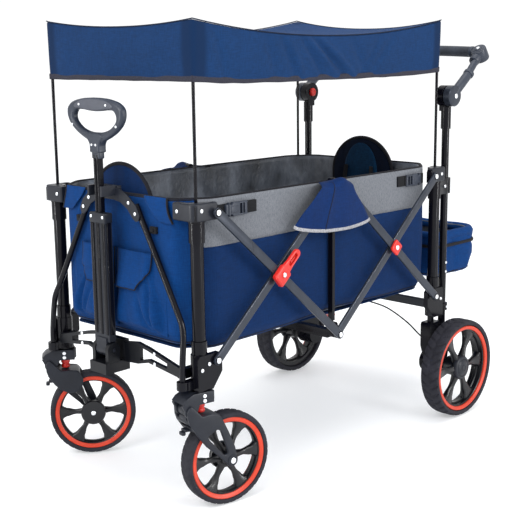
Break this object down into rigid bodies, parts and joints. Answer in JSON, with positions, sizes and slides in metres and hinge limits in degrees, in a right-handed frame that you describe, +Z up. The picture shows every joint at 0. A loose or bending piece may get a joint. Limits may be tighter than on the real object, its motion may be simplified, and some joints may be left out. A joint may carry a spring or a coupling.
{
  "type": "kids pull wagon",
  "caption": "Folding fabric wagon with scissor-braced sides, sprung swivel casters, large rear wheels, pull handle, push bar, canopy and rear bag.",
  "frame": {"origin": "on the floor, under the middle of the bounding box", "axes": "+Z up, -Y towards the pull handle (front), +Y towards the push bar (rear), +X to the wagon's own left as it rolls towards -Y"},
  "size_m": [0.638, 1.186, 1.0145],
  "materials": {
    "black_metal": "black powder coat, satin",
    "grey_metal": "charcoal grey powder coat, satin",
    "charcoal_plastic": "moulded nylon, fine matte texture",
    "red_plastic": "orange-red moulded, semi-gloss",
    "tyre": "black foam rubber with tread blocks",
    "navy_fabric": "navy polyester oxford weave",
    "blue_fabric": "blue polyester oxford weave",
    "cable_sheath": "black cable sheath"
  },
  "bodies": {
    "front_frame": {"front_lower_bracket_R": "charcoal_plastic", "front_lower_bracket_L": "charcoal_plastic", "front_lower_hub": "charcoal_plastic", "front_upper_hub": "charcoal_plastic", "front_bent_tube_R": "black_metal", "front_bent_tube_L": "black_metal"},
    "front_top": {"front_upper_bracket_R": "charcoal_plastic", "front_upper_bracket_L": "charcoal_plastic", "basket": "navy_fabric", "seat_back_front": "navy_fabric"},
    "rear_frame": {"rear_lower_bracket_R": "charcoal_plastic", "rear_lower_bracket_L": "charcoal_plastic", "rear_lower_beam": "charcoal_plastic", "push_post_R": "black_metal", "push_post_L": "black_metal", "brake_cable": "cable_sheath", "rear_bag": "blue_fabric"},
    "rear_top": {"rear_upper_bracket_R": "charcoal_plastic", "rear_upper_bracket_L": "charcoal_plastic", "seat_back_rear": "navy_fabric"},
    "mid_floor": {"mid_floor_beam": "black_metal"},
    "pull_housing": {"pull_handle_housing": "charcoal_plastic"},
    "pull_tube": {"pull_handle_tube": "black_metal", "pull_handle_grip": "charcoal_plastic"},
    "push_bar": {"push_bar": "charcoal_plastic"},
    "brake_pedal": {"brake_pedal": "red_plastic"},
    "arm_front_rising_R": {"arm_front_rising_R": "grey_metal"},
    "arm_front_falling_R": {"arm_front_falling_R": "grey_metal"},
    "arm_rear_falling_R": {"arm_rear_falling_R": "grey_metal"},
    "arm_rear_rising_R": {"arm_rear_rising_R": "grey_metal"},
    "mid_strut_R": {"mid_strut_R": "black_metal"},
    "scissor_latch_R": {"scissor_latch_R": "red_plastic"},
    "arm_front_rising_L": {"arm_front_rising_L": "grey_metal"},
    "arm_front_falling_L": {"arm_front_falling_L": "grey_metal"},
    "arm_rear_falling_L": {"arm_rear_falling_L": "grey_metal"},
    "arm_rear_rising_L": {"arm_rear_rising_L": "grey_metal"},
    "mid_strut_L": {"mid_strut_L": "black_metal"},
    "scissor_latch_L": {"scissor_latch_L": "red_plastic"},
    "caster_R": {"caster_head_R": "charcoal_plastic", "caster_bumper_R": "red_plastic"},
    "caster_fork_R": {"caster_fork_R": "charcoal_plastic"},
    "front_wheel_R": {"front_rim_R": "charcoal_plastic", "front_tyre_R": "tyre"},
    "rear_wheel_R": {"rear_rim_R": "charcoal_plastic", "rear_tyre_R": "tyre"},
    "caster_L": {"caster_head_L": "charcoal_plastic", "caster_bumper_L": "red_plastic"},
    "caster_fork_L": {"caster_fork_L": "charcoal_plastic"},
    "front_wheel_L": {"front_rim_L": "charcoal_plastic", "front_tyre_L": "tyre"},
    "rear_wheel_L": {"rear_rim_L": "charcoal_plastic", "rear_tyre_L": "tyre"},
    "push_button_R": {"push_button_R": "red_plastic"},
    "push_button_L": {"push_button_L": "red_plastic"},
    "pole_front_R": {"canopy_pole_front_R": "black_metal", "canopy": "navy_fabric"},
    "pole_front_L": {"canopy_pole_front_L": "black_metal"},
    "pole_rear_R": {"canopy_pole_rear_R": "black_metal"},
    "pole_rear_L": {"canopy_pole_rear_L": "black_metal"}
  },
  "joints": [
    {"name": "fold", "type": "hinge", "parent": "front_frame", "child": "arm_front_rising_R", "pos_m": [0.2538, -0.48, 0.322], "axis": [1, 0, 0], "range_deg": [0, 24], "deforming": ["basket", "canopy"]},
    {"name": "fold_front_crossing_R", "type": "hinge", "parent": "arm_front_rising_R", "child": "arm_front_falling_R", "pos_m": [0.2538, -0.30123, 0.4765], "axis": [1, 0, 0], "range_deg": [-48, 0]},
    {"name": "fold_mid_top_R", "type": "hinge", "parent": "arm_front_rising_R", "child": "arm_rear_falling_R", "pos_m": [0.2538, -0.097, 0.653], "axis": [1, 0, 0], "range_deg": [-48, 0]},
    {"name": "fold_rear_crossing_R", "type": "hinge", "parent": "arm_rear_falling_R", "child": "arm_rear_rising_R", "pos_m": [0.2538, 0.10723, 0.4765], "axis": [1, 0, 0], "range_deg": [0, 48]},
    {"name": "fold_strut_R", "type": "hinge", "parent": "arm_front_rising_R", "child": "mid_strut_R", "pos_m": [0.2538, -0.097, 0.653], "axis": [1, 0, 0], "range_deg": [-24, 0]},
    {"name": "latch_release_R", "type": "hinge", "parent": "arm_front_rising_R", "child": "scissor_latch_R", "pos_m": [0.27, -0.30123, 0.4765], "axis": [1, 0, 0], "range_deg": [0, 35]},
    {"name": "fold_front_rising_L", "type": "hinge", "parent": "front_frame", "child": "arm_front_rising_L", "pos_m": [-0.2538, -0.48, 0.322], "axis": [1, 0, 0], "range_deg": [0, 24]},
    {"name": "fold_front_crossing_L", "type": "hinge", "parent": "arm_front_rising_L", "child": "arm_front_falling_L", "pos_m": [-0.2538, -0.30123, 0.4765], "axis": [1, 0, 0], "range_deg": [-48, 0]},
    {"name": "fold_mid_top_L", "type": "hinge", "parent": "arm_front_rising_L", "child": "arm_rear_falling_L", "pos_m": [-0.2538, -0.097, 0.653], "axis": [1, 0, 0], "range_deg": [-48, 0]},
    {"name": "fold_rear_crossing_L", "type": "hinge", "parent": "arm_rear_falling_L", "child": "arm_rear_rising_L", "pos_m": [-0.2538, 0.10723, 0.4765], "axis": [1, 0, 0], "range_deg": [0, 48]},
    {"name": "fold_strut_L", "type": "hinge", "parent": "arm_front_rising_L", "child": "mid_strut_L", "pos_m": [-0.2538, -0.097, 0.653], "axis": [1, 0, 0], "range_deg": [-24, 0]},
    {"name": "latch_release_L", "type": "hinge", "parent": "arm_front_rising_L", "child": "scissor_latch_L", "pos_m": [-0.27, -0.30123, 0.4765], "axis": [1, 0, 0], "range_deg": [0, 35]},
    {"name": "fold_front_top", "type": "hinge", "parent": "arm_front_falling_R", "child": "front_top", "pos_m": [0.2538, -0.48, 0.631], "axis": [1, 0, 0], "range_deg": [0, 24]},
    {"name": "fold_mid_low", "type": "hinge", "parent": "arm_front_falling_R", "child": "mid_floor", "pos_m": [0.2538, -0.097, 0.3], "axis": [1, 0, 0], "range_deg": [0, 24]},
    {"name": "fold_rear_low", "type": "hinge", "parent": "arm_rear_falling_R", "child": "rear_frame", "pos_m": [0.2538, 0.286, 0.322], "axis": [1, 0, 0], "range_deg": [0, 24]},
    {"name": "fold_rear_top", "type": "hinge", "parent": "arm_rear_rising_R", "child": "rear_top", "pos_m": [0.2538, 0.286, 0.631], "axis": [1, 0, 0], "range_deg": [-24, 0]},
    {"name": "caster_swivel_R", "type": "hinge", "parent": "front_frame", "child": "caster_R", "pos_m": [0.234, -0.5097, 0.262], "axis": [0, 0, 1], "continuous": true},
    {"name": "suspension_R", "type": "hinge", "parent": "caster_R", "child": "caster_fork_R", "pos_m": [0.22732, -0.54406, 0.226], "axis": [0.9816, -0.1908, 0], "range_deg": [0, 3], "stiffness_Nm_per_rad": 90, "springref_deg": -4.58, "deforming": ["caster_bumper_R"]},
    {"name": "front_wheel_spin_R", "type": "hinge", "parent": "caster_fork_R", "child": "front_wheel_R", "pos_m": [0.24507, -0.45277, 0.1016], "axis": [0.9816, -0.1908, 0], "continuous": true},
    {"name": "rear_wheel_spin_R", "type": "hinge", "parent": "rear_frame", "child": "rear_wheel_R", "pos_m": [0.293, 0.3476, 0.127], "axis": [1, 0, 0], "continuous": true},
    {"name": "caster_swivel_L", "type": "hinge", "parent": "front_frame", "child": "caster_L", "pos_m": [-0.234, -0.5097, 0.262], "axis": [0, 0, 1], "continuous": true},
    {"name": "suspension_L", "type": "hinge", "parent": "caster_L", "child": "caster_fork_L", "pos_m": [-0.25457, -0.53802, 0.226], "axis": [0.809, -0.5878, 0], "range_deg": [0, 3], "stiffness_Nm_per_rad": 90, "springref_deg": -4.58, "deforming": ["caster_bumper_L"]},
    {"name": "front_wheel_spin_L", "type": "hinge", "parent": "caster_fork_L", "child": "front_wheel_L", "pos_m": [-0.19991, -0.46278, 0.1016], "axis": [0.809, -0.5878, 0], "continuous": true},
    {"name": "rear_wheel_spin_L", "type": "hinge", "parent": "rear_frame", "child": "rear_wheel_L", "pos_m": [-0.293, 0.3476, 0.127], "axis": [1, 0, 0], "continuous": true},
    {"name": "pull_handle_tilt", "type": "hinge", "parent": "front_frame", "child": "pull_housing", "pos_m": [0, -0.569, 0.318], "axis": [1, 0, 0], "range_deg": [0, 85]},
    {"name": "pull_handle_extend", "type": "slide", "parent": "pull_housing", "child": "pull_tube", "axis": [0, 0, 1], "range_m": [0, 0.22]},
    {"name": "push_bar_tilt", "type": "hinge", "parent": "rear_frame", "child": "push_bar", "pos_m": [0, 0.36, 0.828], "axis": [1, 0, 0], "range_deg": [-75, 50]},
    {"name": "push_button_press_R", "type": "slide", "parent": "rear_frame", "child": "push_button_R", "axis": [1, 0, 0], "range_m": [0, 0.004], "stiffness_N_per_m": 400, "springref_m": -0.004},
    {"name": "push_button_press_L", "type": "slide", "parent": "rear_frame", "child": "push_button_L", "axis": [-1, 0, 0], "range_m": [0, 0.004], "stiffness_N_per_m": 400, "springref_m": -0.004},
    {"name": "canopy_height", "type": "slide", "parent": "front_top", "child": "pole_front_R", "axis": [0, 0, 1], "range_m": [-0.1, 0.05]},
    {"name": "canopy_height_front_L", "type": "slide", "parent": "front_top", "child": "pole_front_L", "axis": [0, 0, 1], "range_m": [-0.1, 0.05]},
    {"name": "canopy_height_rear_R", "type": "slide", "parent": "rear_top", "child": "pole_rear_R", "axis": [0, 0, 1], "range_m": [-0.1, 0.05]},
    {"name": "canopy_height_rear_L", "type": "slide", "parent": "rear_top", "child": "pole_rear_L", "axis": [0, 0, 1], "range_m": [-0.1, 0.05]},
    {"name": "brake_pedal_press", "type": "hinge", "parent": "rear_frame", "child": "brake_pedal", "pos_m": [-0.2435, 0.377, 0.164], "axis": [-1, 0, 0], "range_deg": [0, 18]}
  ],
  "couplings": [
    {"joint": "fold_front_crossing_R", "follows": "fold", "ratio": -2},
    {"joint": "fold_mid_top_R", "follows": "fold", "ratio": -2},
    {"joint": "fold_rear_crossing_R", "follows": "fold", "ratio": 2},
    {"joint": "fold_strut_R", "follows": "fold", "ratio": -1},
    {"joint": "fold_front_rising_L", "follows": "fold", "ratio": 1},
    {"joint": "fold_front_crossing_L", "follows": "fold", "ratio": -2},
    {"joint": "fold_mid_top_L", "follows": "fold", "ratio": -2},
    {"joint": "fold_rear_crossing_L", "follows": "fold", "ratio": 2},
    {"joint": "fold_strut_L", "follows": "fold", "ratio": -1},
    {"joint": "fold_front_top", "follows": "fold", "ratio": 1},
    {"joint": "fold_mid_low", "follows": "fold", "ratio": 1},
    {"joint": "fold_rear_low", "follows": "fold", "ratio": 1},
    {"joint": "fold_rear_top", "follows": "fold", "ratio": -1},
    {"joint": "canopy_height_front_L", "follows": "canopy_height", "ratio": 1},
    {"joint": "canopy_height_rear_R", "follows": "canopy_height", "ratio": 1},
    {"joint": "canopy_height_rear_L", "follows": "canopy_height", "ratio": 1}
  ]
}
